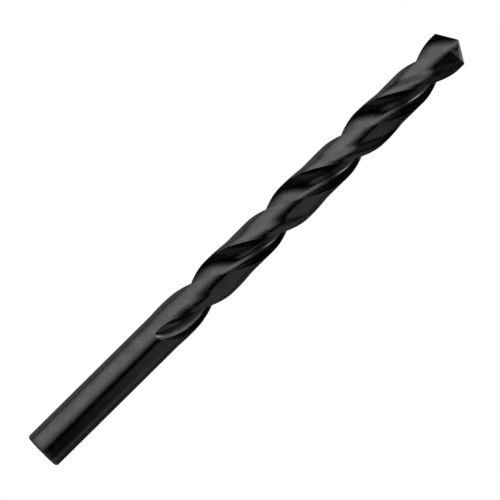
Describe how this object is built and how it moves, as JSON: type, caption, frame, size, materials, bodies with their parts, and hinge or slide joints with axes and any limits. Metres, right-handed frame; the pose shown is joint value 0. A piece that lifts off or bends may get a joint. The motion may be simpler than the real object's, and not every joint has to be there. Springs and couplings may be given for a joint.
{
  "type": "twist drill bit",
  "caption": "Straight-shank twist drill bit with right-hand spiral flutes, relieved lands behind narrow margins, a cone-ground point and a plain shank with a bevelled end.",
  "frame": {"origin": "centre of the shank's flat end", "axes": "+Z along the drill's axis from the shank's end to the point, +X along the lips at the point"},
  "size_m": [0.0088, 0.0088, 0.1205],
  "materials": {
    "black_oxide_steel": "black oxide over ground high-speed steel, semi-gloss"
  },
  "bodies": {
    "root": {"twist_drill": "black_oxide_steel"}
  },
  "joints": []
}
